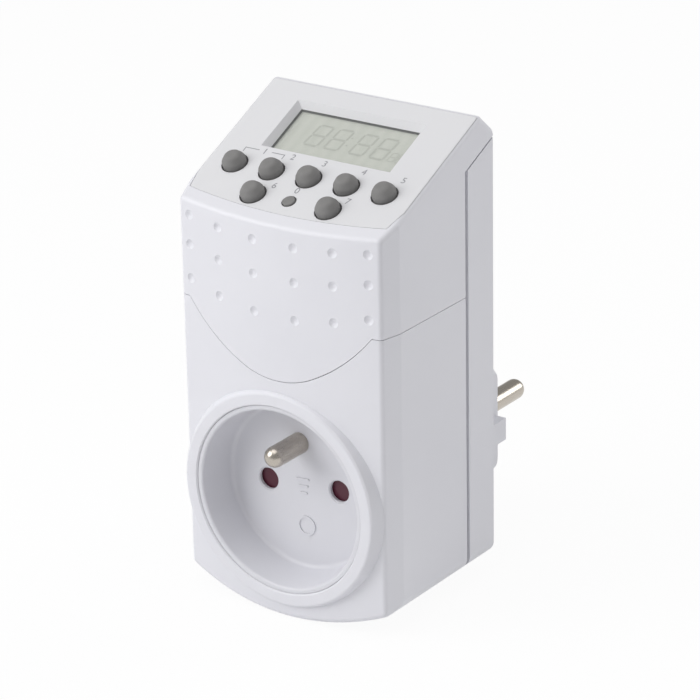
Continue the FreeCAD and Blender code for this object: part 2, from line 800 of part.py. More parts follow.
def socket_shutter():
    """The burgundy shutter."""
    return turned(shutter_solid())


def shutter_spring():
    """The small compression spring between the shutter and its stop."""
    length = shutter_stop - shutter_right - 2 * spring_wire
    helix = Part.makeHelix(length / spring_turns, length, spring_radius)
    ring = Part.Wire(Part.makeCircle(spring_wire, Vector(spring_radius, 0, 0), Vector(0, 1, 0)))
    coil = Part.Wire(helix).makePipeShell([ring], True, True)
    coil.rotate(Vector(0, 0, 0), Vector(0, 1, 0), 90)
    coil.translate(Vector(shutter_right + spring_wire, -(shutter_front + shutter_back) / 2, 0))
    return turned(coil)


def contact_carrier():
    """The block behind the shutter, with a pocket for each contact."""
    block = box(-carrier_width / 2, carrier_width / 2, -carrier_front, -carrier_back, -carrier_height / 2,
                carrier_height / 2)
    half = pin_radius + contact_grip + contact_wall + lip_gap
    for x in (-pin_pitch / 2, pin_pitch / 2):
        high = contact_height / 2 + lip_gap
        block = block.cut(box(x - half, x + half, -far, far, -high, high))
    return turned(block)


def contact(side):
    """A spring contact: two blades that grip a plug pin, joined at the back."""
    x = side * pin_pitch / 2
    inner = pin_radius + contact_grip
    outer = inner + contact_wall
    high = contact_height / 2
    shape = box(x - outer, x + outer, -carrier_front, -contact_back, -high, high)
    return turned(shape.cut(box(x - inner, x + inner, -far, -contact_back - contact_wall, -far, far)))


# Plug

def plug_body():
    """The plug's body with flat sides, a rib on each side, pin holes, the earth hole and clip grooves."""
    body = rod(plug_radius, plug_length, Vector(0, 0, 0), Vector(0, 1, 0))
    body = body.makeFillet(edge_round, [edge for edge in body.Edges if edge.BoundBox.YMin > plug_length - 0.1])
    body = body.common(box(-plug_flat, plug_flat, 0, plug_length, -plug_radius, plug_radius))
    reach = plug_flat + plug_rib_reach
    rib = box(-reach, reach, 0, plug_length - edge_round, -plug_rib_low, plug_rib_high)
    body = body.fuse(rib)
    for x in (-pin_pitch / 2, pin_pitch / 2):
        body = body.cut(rod(pin_shank_radius + lip_gap, far, Vector(x, -far / 2, 0), Vector(0, 1, 0)))
    body = body.cut(rod(plug_earth_hole_radius, plug_earth_hole_depth, Vector(0, plug_length, earth_offset),
                        Vector(0, -1, 0)))
    reach = clip_width / 2 + clip_play
    for side in (-1, 1):
        low, high = sorted((side * (clip_place - clip_play), side * far))
        body = body.cut(box(-reach, reach, -far, far, low, high))
    return body


def plug_pin(side):
    """A plug pin: domed tip, full radius outside the body, thinner shank and head inside."""
    x = side * pin_pitch / 2
    straight = plug_pin_length - pin_radius
    outer = rod(pin_radius, straight, Vector(x, plug_length, 0), Vector(0, 1, 0))
    tip = Part.makeSphere(pin_radius, Vector(x, plug_length + straight, 0))
    shank = rod(pin_shank_radius, plug_length + pin_tail_depth, Vector(x, -pin_tail_depth, 0), Vector(0, 1, 0))
    head = rod(pin_head_radius, pin_head_height, Vector(x, -wall, 0), Vector(0, -1, 0))
    return outer.fuse([tip, shank, head]).removeSplitter()


def plug_earth_clips():
    """The bent earth clip: a base inside the case and an arm along each side of the plug."""
    half = clip_width / 2
    top = clip_place + clip_thickness
    base_back = wall + pin_head_height
    shape = box(-half, half, -base_back - clip_thickness, -base_back, -top, top)
    gap = pin_pitch / 2 - pin_head_radius - 2 * clip_play
    middle = earth_offset / 2
    shape = shape.cut(box(-far, -gap, -far, far, -middle, middle)).cut(box(gap, far, -far, far, -middle, middle))
    for side in (-1, 1):
        low, high = sorted((side * clip_place, side * top))
        shape = shape.fuse(box(-half, half, -base_back - clip_thickness, clip_length, low, high))
    return shape


def neutral_strap():
    """The strap from the neutral pin straight to its contact."""
    x = -pin_pitch / 2
    half = strap_width / 2
    up = strap_thickness / 2
    return box(x - half, x + half, -contact_back, -pin_tail_depth, -up, up)


def line_strap():
    """The strap from the line pin up to the power board."""
    x = pin_pitch / 2
    half = strap_width / 2
    top = power_board_bottom + strap_width
    upright = box(x - half, x + half, -strap_front, -pin_tail_depth, -half, top)
    foot = box(x - half, x + half, -power_board_depth, -pin_tail_depth, top - strap_thickness, top)
    return upright.fuse(foot)


def switched_strap():
    """The strap from the power board down to the line contact."""
    x = pin_pitch / 2
    half = strap_width / 2
    front = power_board_front + strap_thickness
    top = power_board_bottom + boss_wall
    upright = box(x - half, x + half, -front, -power_board_front, -strap_thickness / 2, top)
    foot = box(x - half, x + half, -contact_back, -power_board_front, -strap_thickness / 2, strap_thickness / 2)
    return upright.fuse(foot)


def earth_strap():
    """The strap from the socket's earth pin to the plug's earth clips."""
    half = strap_width / 2
    low = earth_offset + boss_wall
    front = cup_back - shutter_gap - boss_wall
    back = wall + pin_head_height + clip_thickness
    return box(-half, half, -front, -back, low, low + strap_thickness)


def housing_screws():
    """The four case screws."""
    screws = []
    for x, z in screw_places():
        head = rod(screw_head_radius, screw_head_height, Vector(x, 0, z), Vector(0, -1, 0))
        shank = rod(screw_radius, screw_length, Vector(x, 0, z), Vector(0, -1, 0))
        reach, half = screw_head_radius / 2, screw_slot / 2
        cross = box(x - reach, x + reach, -screw_head_height / 2, far, z - half, z + half)
        cross = cross.fuse(box(x - half, x + half, -screw_head_height / 2, far, z - reach, z + reach))
        screws.append(head.fuse(shank).cut(cross))
    return Part.makeCompound(screws)


def main():
    """Build and write every sub-part."""
    os.makedirs("parts", exist_ok=True)
    write("rear_shell", rear_shell())
    write("lower_front_housing", lower_front_housing())
    write("upper_front_cover", upper_front_cover())
    write("control_panel", control_panel())
    write("lcd_lens", lcd_lens())
    write("lcd_glass", lcd_glass())
    write("lcd_frame", lcd_frame())
    write("zebra_strips", zebra_strips())
    large = key_shape(key_radius, key_height, key_flange_radius, True)
    for number, (x, up) in enumerate(key_places, 1):
        write(f"key_{number}", placed_key(x, up, large))
    small = key_shape(reset_radius, reset_height, reset_flange_radius, False)
    write("reset_key", placed_key(reset_x, reset_up, small))
    write("keypad_mat", keypad_mat())
    write("control_board", control_board())
    write("microcontroller", microcontroller())
    write("quartz_crystal", quartz_crystal())
    write("backup_battery", backup_battery())
    write("board_header", board_header())
    write("power_board", power_board())
    write("relay", relay())
    write("film_capacitor", film_capacitor())
    write("electrolytic_capacitor", electrolytic_capacitor())
    write("varistor", varistor())
    write("fuse", fuse())
    write("socket_insert", socket_insert())
    write("socket_shutter", socket_shutter())
    write("socket_earth_pin", socket_earth_pin())
    write("shutter_spring", shutter_spring())
    write("contact_carrier", contact_carrier())
    write("line_contact", contact(1))
    write("neutral_contact", contact(-1))
    write("plug_body", plug_body())
    write("line_pin", plug_pin(1))
    write("neutral_pin", plug_pin(-1))
    write("plug_earth_clips", plug_earth_clips())
    write("line_strap", line_strap())
    write("neutral_strap", neutral_strap())
    write("switched_strap", switched_strap())
    write("earth_strap", earth_strap())
    write("housing_screws", housing_screws())


main()
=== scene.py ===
"""Looks of the plug in timer switch: finishes, fine pieces, studio and camera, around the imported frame."""
from __future__ import annotations

import json
import logging
import math
from dataclasses import dataclass, field
from enum import Enum

import bpy
import numpy as np
from mathutils import Matrix, Vector

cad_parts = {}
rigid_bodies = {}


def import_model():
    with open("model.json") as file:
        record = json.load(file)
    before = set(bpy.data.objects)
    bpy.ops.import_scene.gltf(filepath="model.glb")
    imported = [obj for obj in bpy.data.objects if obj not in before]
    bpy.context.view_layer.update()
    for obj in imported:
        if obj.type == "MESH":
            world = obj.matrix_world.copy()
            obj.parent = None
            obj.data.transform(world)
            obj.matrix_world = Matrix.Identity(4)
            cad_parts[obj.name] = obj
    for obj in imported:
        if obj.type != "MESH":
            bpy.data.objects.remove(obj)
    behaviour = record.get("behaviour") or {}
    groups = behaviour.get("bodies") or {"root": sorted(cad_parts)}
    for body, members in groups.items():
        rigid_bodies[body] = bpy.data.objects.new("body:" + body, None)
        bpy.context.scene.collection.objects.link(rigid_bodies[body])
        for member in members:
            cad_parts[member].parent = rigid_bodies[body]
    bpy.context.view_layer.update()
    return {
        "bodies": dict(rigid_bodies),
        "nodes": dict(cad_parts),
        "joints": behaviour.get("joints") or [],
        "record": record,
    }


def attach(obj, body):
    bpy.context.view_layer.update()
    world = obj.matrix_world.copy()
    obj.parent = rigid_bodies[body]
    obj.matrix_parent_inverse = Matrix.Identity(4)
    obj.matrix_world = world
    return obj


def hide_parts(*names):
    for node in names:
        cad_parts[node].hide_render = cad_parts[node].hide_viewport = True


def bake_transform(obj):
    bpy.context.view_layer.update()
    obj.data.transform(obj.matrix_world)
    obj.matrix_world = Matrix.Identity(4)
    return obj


LOG = logging.getLogger("timer")
MM = 0.001
Array = np.ndarray
MIX_FIRST, MIX_SECOND, MIX_RESULT = 6, 7, 2    # the Mix node's colour sockets, by place because its names repeat
WAVE_BANDS = 20    # bands of a wave texture in one unit, at a scale of one


# Colours and nodes

def linear(colour: str) -> tuple[float, float, float, float]:
    """Turn an sRGB hex value into linear red, green, blue and full alpha.

    Args:
        colour: six hex digits after a hash sign.

    Returns:
        The four linear channels.
    """
    parts = [int(colour[k:k + 2], 16) / 255 for k in (1, 3, 5)]
    red, green, blue = [p / 12.92 if p <= 0.04045 else ((p + 0.055) / 1.055) ** 2.4 for p in parts]
    return (red, green, blue, 1.0)


def add(tree: bpy.types.NodeTree, kind: str, settings: dict | None = None,
        links: dict | None = None) -> bpy.types.Node:
    """Add one node with its settings and links.

    Args:
        tree: the material's node tree.
        kind: the node's type name without its ShaderNode prefix.
        settings: attributes by name, or input values where the name is an input.
        links: output sockets by input name.

    Returns:
        The new node.
    """
    node = tree.nodes.new("ShaderNode" + kind)
    for name, value in (settings or {}).items():
        if name in node.inputs:
            node.inputs[name].default_value = value
        else:
            setattr(node, name, value)
    for name, source in (links or {}).items():
        tree.links.new(source, node.inputs[name])
    return node


def blank(name: str) -> tuple[bpy.types.Material, bpy.types.NodeTree]:
    """Make an empty node material.

    Args:
        name: the material's name.

    Returns:
        The material and its tree.
    """
    material = bpy.data.materials.new(name)
    material.use_nodes = True
    material.node_tree.nodes.clear()
    return material, material.node_tree


def noise(tree: bpy.types.NodeTree, place: bpy.types.NodeSocket, size_mm: float, detail: float,
          roughness: float = 0.5) -> bpy.types.NodeSocket:
    """Add noise of a real size.

    Args:
        tree: the material's node tree.
        place: the coordinates.
        size_mm: how large its largest features are.
        detail: how many finer layers it has.
        roughness: how strong the finer layers are.

    Returns:
        The noise's value.
    """
    settings = {"Scale": 1 / (size_mm * MM), "Detail": detail, "Roughness": roughness}
    return add(tree, "TexNoise", settings, {"Vector": place}).outputs["Fac"]


def combined(tree: bpy.types.NodeTree, operation: str, first: bpy.types.NodeSocket,
             second: bpy.types.NodeSocket) -> bpy.types.NodeSocket:
    """Combine two values by arithmetic.

    Args:
        tree: the material's node tree.
        operation: the Math node's operation.
        first: the first value.
        second: the second value.

    Returns:
        The result.
    """
    node = add(tree, "Math", {"operation": operation})
    tree.links.new(first, node.inputs[0])
    tree.links.new(second, node.inputs[1])
    return node.outputs[0]


def tinted(tree: bpy.types.NodeTree, share: bpy.types.NodeSocket, colour: str, shade: str) -> bpy.types.NodeSocket:
    """Mix two colours by a share.

    Args:
        tree: the material's node tree.
        share: how much of the second colour there is.
        colour: the first colour, in hex.
        shade: the second colour, in hex.

    Returns:
        The mixed colour.
    """
    node = add(tree, "Mix", {"data_type": "RGBA"}, {"Factor": share})
    node.inputs[MIX_FIRST].default_value = linear(colour)
    node.inputs[MIX_SECOND].default_value = linear(shade)
    return node.outputs[MIX_RESULT]


def finish_tree(tree: bpy.types.NodeTree, shader: bpy.types.Node) -> None:
    """Link a shader to the material's output.

    Args:
        tree: the material's node tree.
        shader: the node whose first output is the surface.
    """
    add(tree, "OutputMaterial", {}, {"Surface": shader.outputs[0]})


# Finishes

@dataclass(frozen=True)
class MouldedPlastic:
    """Injection moulded ABS or PC with a fine spark eroded texture that breaks up the highlight."""

    name: str
    colour: str
    shade: str
    roughness: float = 0.42
    grain_mm: float = 0.35
    grain_depth_mm: float = 0.012
    cloud_mm: float = 22.0

    def build(self) -> bpy.types.Material:
        """Build the material: a faint cloud in the colour, fine grain in the bump and in the roughness.

        Returns:
            The material.
        """
        material, tree = blank(self.name)
        place = add(tree, "TexCoord").outputs["Object"]
        cloud = noise(tree, place, self.cloud_mm, 3.0)
        grain = noise(tree, place, self.grain_mm, 2.0, 0.6)
        tint = tinted(tree, cloud, self.colour, self.shade)
        gloss = add(tree, "MapRange", {"To Min": self.roughness - 0.05, "To Max": self.roughness + 0.07},
                    {"Value": grain})
        bump = add(tree, "Bump", {"Strength": 0.35, "Distance": self.grain_depth_mm * MM}, {"Height": grain})
        shader = add(tree, "BsdfPrincipled", {"Specular IOR Level": 0.4, "IOR": 1.53},
                     {"Base Color": tint, "Roughness": gloss.outputs[0], "Normal": bump.outputs[0]})
        finish_tree(tree, shader)
        return material


@dataclass(frozen=True)
class SiliconeRubber:
    """Moulded silicone or TPE: soft, almost matt, with a dusty fine grain."""

    name: str
    colour: str
    shade: str
    roughness: float = 0.62
    grain_mm: float = 0.22
    grain_depth_mm: float = 0.015
    wear_mm: float = 3.0

    def build(self) -> bpy.types.Material:
        """Build the material: two greys mixed by grain, and a fine bump.

        Returns:
            The material.
        """
        material, tree = blank(self.name)
        place = add(tree, "TexCoord").outputs["Object"]
        grain = noise(tree, place, self.grain_mm, 4.0, 0.7)
        wear = noise(tree, place, self.wear_mm, 2.0)
        tint = tinted(tree, combined(tree, "MULTIPLY", grain, wear), self.colour, self.shade)
        bump = add(tree, "Bump", {"Strength": 0.4, "Distance": self.grain_depth_mm * MM}, {"Height": grain})
        shader = add(tree, "BsdfPrincipled", {"Roughness": self.roughness, "Specular IOR Level": 0.35, "IOR": 1.43},
                     {"Base Color": tint, "Normal": bump.outputs[0]})
        finish_tree(tree, shader)
        return material


@dataclass(frozen=True)
class PlatedMetal:
    """Drawn or pressed metal, plated or bare, with fine lines along its drawing direction."""

    name: str
    colour: str
    shade: str
    roughness: float = 0.24
    line_mm: float = 0.12
    line_depth_mm: float = 0.006
    stretch: tuple[float, float, float] = (1.0, 0.05, 1.0)    # the lines run along Y, as the pins do

    def build(self) -> bpy.types.Material:
        """Build the material: stretched noise as drawing lines in colour, roughness and bump.

        Returns:
            The material.
        """
        material, tree = blank(self.name)
        place = add(tree, "TexCoord").outputs["Object"]
        along = add(tree, "Mapping", {"Scale": self.stretch}, {"Vector": place})
        lines = noise(tree, along.outputs[0], self.line_mm, 3.0)
        tint = tinted(tree, lines, self.colour, self.shade)
        gloss = add(tree, "MapRange", {"To Min": self.roughness - 0.06, "To Max": self.roughness + 0.1},
                    {"Value": lines})
        bump = add(tree, "Bump", {"Strength": 0.2, "Distance": self.line_depth_mm * MM}, {"Height": lines})
        shader = add(tree, "BsdfPrincipled", {"Metallic": 1.0},
                     {"Base Color": tint, "Roughness": gloss.outputs[0], "Normal": bump.outputs[0]})
        finish_tree(tree, shader)
        return material


@dataclass(frozen=True)
class ClearAcrylic:
    """A thin cast acrylic window, clear with a faint reflection."""

    name: str = "cast_acrylic_clear"
    opacity: float = 0.12
    haze_mm: float = 6.0

    def build(self) -> bpy.types.Material:
        """Build the material: mostly see through, with a glossy skin.

        Returns:
            The material.
        """
        material, tree = blank(self.name)
        place = add(tree, "TexCoord").outputs["Object"]
        haze = noise(tree, place, self.haze_mm, 2.0)
        gloss = add(tree, "MapRange", {"To Min": 0.03, "To Max": 0.09}, {"Value": haze})
        shader = add(tree, "BsdfPrincipled", {"Base Color": linear("#EEF1EE"), "Alpha": self.opacity, "IOR": 1.49},
                     {"Roughness": gloss.outputs[0]})
        finish_tree(tree, shader)
        return material


@dataclass(frozen=True)
class DisplayGlass:
    """A reflective display: pale grey green, silky, with the fine row pattern of its electrodes."""

    name: str = "display_glass_reflective"
    colour: str = "#C4C6BD"
    shade: str = "#B8BBB1"
    cloud_mm: float = 9.0
    row_mm: float = 0.5

    def build(self) -> bpy.types.Material:
        """Build the material: cloudy grey green with faint rows.

        Returns:
            The material.
        """
        material, tree = blank(self.name)
        place = add(tree, "TexCoord").outputs["Object"]
        cloud = noise(tree, place, self.cloud_mm, 3.0)
        rows = add(tree, "TexWave", {"Scale": 1 / (WAVE_BANDS * self.row_mm * MM), "bands_direction": "X"},
                   {"Vector": place})
        both = combined(tree, "MULTIPLY", cloud, rows.outputs["Fac"])
        tint = tinted(tree, both, self.colour, self.shade)
        shader = add(tree, "BsdfPrincipled", {"Roughness": 0.32, "Specular IOR Level": 0.5}, {"Base Color": tint})
        finish_tree(tree, shader)
        return material


@dataclass(frozen=True)
class PrintedInk:
    """Pad printed ink, a thin film whose density wavers. It also makes the dark frame of painted shade round the
    display.
    """

    name: str
    colour: str
    shade: str
    grain_mm: float = 0.4

    def build(self) -> bpy.types.Material:
        """Build the material: ink whose density wavers a little.

        Returns:
            The material.
        """
        material, tree = blank(self.name)
        place = add(tree, "TexCoord").outputs["Object"]
        tint = tinted(tree, noise(tree, place, self.grain_mm, 3.0), self.colour, self.shade)
        shader = add(tree, "BsdfPrincipled", {"Roughness": 0.55}, {"Base Color": tint})
        finish_tree(tree, shader)
        return material


@dataclass(frozen=True)
class CircuitBoard:
    """Glass fibre board under solder mask, with copper tracks showing as a lighter green."""

    name: str = "glass_fibre_board"
    track_mm: float = 2.4
    copper: str = "#2E7A4A"
    bare: str = "#1B5432"

    def build(self) -> bpy.types.Material:
        """Build the material: cells of lighter mask over copper, darker where the board is bare.

        Returns:
            The material.
        """
        material, tree = blank(self.name)
        place = add(tree, "TexCoord").outputs["Object"]
        cells = add(tree, "TexVoronoi", {"Scale": 1 / (self.track_mm * MM), "distance": "CHEBYCHEV",
                                         "feature": "F1"}, {"Vector": place})
        edge = add(tree, "ValToRGB", {}, {"Fac": cells.outputs["Distance"]})
        for stop, (position, colour) in zip(edge.color_ramp.elements, ((0.42, self.copper), (0.5, self.bare))):
            stop.position = position
            stop.color = linear(colour)
        shader = add(tree, "BsdfPrincipled", {"Roughness": 0.3}, {"Base Color": edge.outputs[0]})
        finish_tree(tree, shader)
        return material


class Stock(Enum):
    """The finishes of this object, each by what the real one is."""

    CASE_ABS = MouldedPlastic("moulded_abs_case", "#E4E4E9", "#DEDEE4")
    PANEL_ABS = MouldedPlastic("moulded_abs_panel", "#DFDFE1", "#DADADD", 0.36, 0.3, 0.008)
    SOCKET_UREA = MouldedPlastic("moulded_urea_socket", "#DCDCE1", "#D6D6DC", 0.34, 0.4, 0.01)
    FRAME_ABS = MouldedPlastic("moulded_abs_inner_frame", "#C9C9CC", "#BFBFC4", 0.5)
    SHUTTER_NYLON = MouldedPlastic("moulded_nylon_burgundy", "#5A2033", "#431526", 0.35, 0.3, 0.01)
    CHIP_EPOXY = MouldedPlastic("moulded_epoxy_black", "#26262A", "#1C1C20", 0.55)
    RELAY_PBT = MouldedPlastic("moulded_pbt_black", "#2A2B30", "#202126", 0.4)
    CAPACITOR_BOX = MouldedPlastic("moulded_pbt_yellow", "#D9B23A", "#CDA42E", 0.4)
    CAPACITOR_SLEEVE = MouldedPlastic("shrunk_pvc_sleeve", "#23304F", "#1B2641", 0.3)
    VARISTOR_EPOXY = MouldedPlastic("dipped_epoxy_blue", "#2F5FA8", "#274F90", 0.3)
    KEY_SILICONE = SiliconeRubber("moulded_silicone_grey", "#868584", "#706F6F")
    MAT_SILICONE = SiliconeRubber("moulded_silicone_mat", "#9A9A9E", "#88888D")
    STRIP_SILICONE = SiliconeRubber("layered_conductive_silicone", "#3A3A3E", "#232326")
    NICKEL = PlatedMetal("nickel_plated_brass", "#CBC4BA", "#B3ACA2", 0.27)
    CAN_STEEL = PlatedMetal("drawn_steel_can", "#C2C2C4", "#A8A8AC", 0.3)
    SCREW_ZINC = PlatedMetal("zinc_plated_steel", "#B6B8BA", "#9C9FA3", 0.34)
    SPRING_WIRE = PlatedMetal("drawn_spring_wire", "#A9A9AB", "#8E8E92", 0.3)
    SHEET_BRASS = PlatedMetal("pressed_sheet_brass", "#C9A556", "#B08E45", 0.32)
    ACRYLIC = ClearAcrylic()
    DISPLAY = DisplayGlass()
    LEGEND_INK = PrintedInk("pad_print_grey", "#8B8B90", "#9A9A9F")
    GHOST_SEGMENTS = PrintedInk("display_segment_faint", "#B3B6AC", "#ABAEA4")
    # painted shade: a dark film that stands in for the shadow under the display window's edges
    MASK_INK = PrintedInk("display_painted_shade_black", "#2E2F30", "#26272A")
    BOARD = CircuitBoard()


@dataclass
class Shelf:
    """Builds each finish once and hands it out."""

    made: dict[Stock, bpy.types.Material] = field(default_factory=dict)

    def get(self, stock: Stock) -> bpy.types.Material:
        """Return a finish's material.

        Args:
            stock: the finish.

        Returns:
            The material, built on its first use.
        """
        if stock not in self.made:
            self.made[stock] = stock.value.build()
        return self.made[stock]


# Meshes

def link(name: str, data: bpy.types.ID) -> bpy.types.Object:
    """Put an object into the scene.

    Args:
        name: its name.
        data: its mesh, lamp, camera or letters.

    Returns:
        The object.
    """
    thing = bpy.data.objects.new(name, data)
    bpy.context.scene.collection.objects.link(thing)
    return thing


def mesh_object(name: str, points: Array, faces: list[tuple[int, ...]], smooth: bool = True) -> bpy.types.Object:
    """Put points and faces into an object at the origin.

    Args:
        name: the piece's name.
        points: vertex places in metres, one row each.
        faces: vertex numbers, counted outwards.
        smooth: whether faces are shaded smooth.

    Returns:
        The linked object.
    """
    mesh = bpy.data.meshes.new(name)
    mesh.from_pydata([tuple(p) for p in points.tolist()], [], faces)
    mesh.polygons.foreach_set("use_smooth", [smooth] * len(mesh.polygons))
    mesh.update()
    return link(name, mesh)


def lathe_grid(profile: Array, steps: int) -> tuple[Array, list[tuple[int, ...]]]:
    """Turn a profile of (radius, height) about the third axis.

    A point at radius r and angle t lies at (r cos t, r sin t, height). The first and last points lie on the axis
    and close the form with fans.

    Args:
        profile: rows of radius and height, from the top's pole to the bottom's pole.
        steps: how many points go round.

    Returns:
        The points and faces.
    """
    angles = np.linspace(0, 2 * np.pi, steps, endpoint=False)
    rings = profile[1:-1]
    radius = rings[:, :1]
    x = radius * np.cos(angles)[None, :]
    y = radius * np.sin(angles)[None, :]
    z = np.repeat(rings[:, 1:2], steps, axis=1)
    body = np.stack([x, y, z], axis=-1).reshape(-1, 3)
    top = np.array([[0.0, 0.0, profile[0, 1]]])
    bottom = np.array([[0.0, 0.0, profile[-1, 1]]])
    points = np.vstack([body, top, bottom])
    count = len(rings)
    number = np.arange(count * steps).reshape(count, steps)
    after = np.roll(number, -1, axis=1)
    quads = np.stack([number[:-1], number[1:], after[1:], after[:-1]], axis=-1).reshape(-1, 4)
    fan_top = [(int(a), int(b), count * steps) for a, b in zip(number[0], after[0])]
    fan_bottom = [(int(b), int(a), count * steps + 1) for a, b in zip(number[-1], after[-1])]
    return points, [tuple(q) for q in quads.tolist()] + fan_top + fan_bottom


def rounded(profile: list[tuple[float, float, float]], steps: int = 6) -> Array:
    """Round a profile's corners with arcs.

    Each corner is replaced by an arc that touches both of its sides at the given radius, cut short where a side
    is too short for it.

    Args:
        profile: rows of radius, height and corner radius, in millimetres.
        steps: points on each arc.

    Returns:
        Rows of radius and height, in metres.
    """
    rows = np.array(profile)
    result = [rows[0, :2]]
    for before, here, after in zip(rows[:-2], rows[1:-1], rows[2:]):
        corner, turn = here[:2], here[2]
        back = before[:2] - corner
        ahead = after[:2] - corner
        reach_back, reach_ahead = np.linalg.norm(back), np.linalg.norm(ahead)
        if turn <= 0:
            result.append(corner)
            continue
        back, ahead = back / reach_back, ahead / reach_ahead
        half = 0.5 * math.acos(float(np.clip(back @ ahead, -1, 1)))
        cut = min(turn / math.tan(half), 0.48 * reach_back, 0.48 * reach_ahead)
        share = np.linspace(0, 1, steps)[:, None]
        start, end = corner + back * cut, corner + ahead * cut
        curve = (1 - share) ** 2 * start + 2 * share * (1 - share) * corner + share ** 2 * end
        result.extend(curve)
    result.append(rows[-1, :2])
    return np.array(result) * MM


@dataclass
class PanelPlane:
    """The tilted panel's own axes: x to the right, up the slope, and outwards."""

    tilt_deg: float = 25.0
    reference_depth: float = 37.6
    rise: float = 83.3

    def matrix(self) -> Matrix:
        """Work out the transform between the two sets of axes.

        Returns:
            The transform from the panel's axes, in metres, to the object's.
        """
        height = self.rise - self.reference_depth * math.tan(math.radians(self.tilt_deg))
        place = Matrix.Translation(Vector((0, -self.reference_depth * MM, height * MM)))
        return place @ Matrix.Rotation(math.radians(self.tilt_deg), 4, "X")

    def put(self, points: Array) -> Array:
        """Carry points from the panel's axes to the object's.

        Args:
            points: rows in metres.

        Returns:
            Rows in metres.
        """
        matrix = np.array(self.matrix())
        return points @ matrix[:3, :3].T + matrix[:3, 3]

    def lay(self, flat: Array, level: float) -> Array:
        """Lay flat points parallel to the panel.

        Args:
            flat: rows of x and up, in millimetres.
            level: how far they lie outside the panel's plane, in millimetres.

        Returns:
            Rows in metres, in the object's axes.
        """
        return self.put(np.hstack([flat, np.full((len(flat), 1), level)]) * MM)


def dress(node: str, frame: dict, material: bpy.types.Material) -> None:
    """Give a CAD node its finish.

    Args:
        node: the node's name.
        material: the finish.
    """
    piece = frame["nodes"][node]
    for place in piece.material_slots:
        place.material = material
    LOG.info("dressed %s with %s", node, material.name)


def settle(piece: bpy.types.Object, body: str, material: bpy.types.Material) -> bpy.types.Object:
    """Finish a new piece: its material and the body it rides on.

    Args:
        piece: the new object.
        body: the CAD body that carries it.
        material: the finish.

    Returns:
        The same object.
    """
    piece.data.materials.clear()
    piece.data.materials.append(material)
    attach(piece, body)
    LOG.info("made %s on %s", piece.name, body)
    return piece


# Sub-assemblies

@dataclass
class Keys:
    """The seven conical keys and the small reset key."""

    shelf: Shelf
    plane: PanelPlane
    pitch: float = 9.75
    row_upper: float = 8.6
    row_lower: float = 1.1
    radius: float = 2.68
    height: float = 2.7
    skirt: float = 1.1
    tip_radius: float = 1.55
    flange_radius: float = 3.4
    flange_top: float = -1.5
    flange_thickness: float = 0.7
    stem_radius: float = 1.6
    stem_bottom: float = -4.0
    reset_x: float = -0.4
    reset_up: float = 1.2
    reset_radius: float = 1.45
    reset_height: float = 0.35
    reset_flange: float = 2.1

    def cap_profile(self) -> Array:
        """Draw a large key: a rounded tip, a cone, a short skirt, the flange and the stem.

        Returns:
            Rows of radius and height, in metres.
        """
        low = self.flange_top - self.flange_thickness
        rows = [(0, self.height, 0), (self.tip_radius, self.height, 1.5), (self.radius, self.skirt, 1.0),
                (self.radius, self.flange_top, 0.05), (self.flange_radius, self.flange_top, 0.1),
                (self.flange_radius, low, 0.1), (self.stem_radius, low, 0.05),
                (self.stem_radius, self.stem_bottom, 0.2), (0, self.stem_bottom, 0)]
        return rounded(rows, 8)

    def reset_profile(self) -> Array:
        """Draw the reset key: a flat top with a worn rim.

        Returns:
            Rows of radius and height, in metres.
        """
        low = self.flange_top - self.flange_thickness
        rows = [(0, self.reset_height, 0), (self.reset_radius, self.reset_height, 0.3),
                (self.reset_radius, self.flange_top, 0.05), (self.reset_flange, self.flange_top, 0.1),
                (self.reset_flange, low, 0.1), (self.reset_radius, low, 0.05),
                (self.reset_radius, self.stem_bottom, 0.2), (0, self.stem_bottom, 0)]
        return rounded(rows)

    def places(self) -> list[tuple[str, float, float]]:
        """List the large keys.

        Returns:
            Each one's name with its place on the panel, in millimetres.
        """
        spots = [(column * self.pitch, self.row_upper) for column in (-2, -1, 0, 1, 2)]
        spots += [(column * self.pitch, self.row_lower) for column in (-1, 1)]
        return [(f"key_{number}", x, up) for number, (x, up) in enumerate(spots, 1)]

    def cap(self, node: str, profile: Array, steps: int, x: float, up: float) -> None:
        """Make one key in place of its plain node.

        Args:
            node: the CAD node, which is also the body.
            profile: rows of radius and height, in metres.
            steps: how many points go round.
            x: place along the panel, in millimetres.
            up: place up its slope, in millimetres.
        """
        points, faces = lathe_grid(profile, steps)
        piece = mesh_object(f"{node}_cap", self.plane.put(points + np.array([x, up, 0]) * MM), faces)
        settle(piece, node, self.shelf.get(Stock.KEY_SILICONE))
        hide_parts(node)

    def build(self) -> None:
        """Make every key."""
        for node, x, up in self.places():
            self.cap(node, self.cap_profile(), 72, x, up)
        self.cap("reset_key", self.reset_profile(), 48, self.reset_x, self.reset_up)


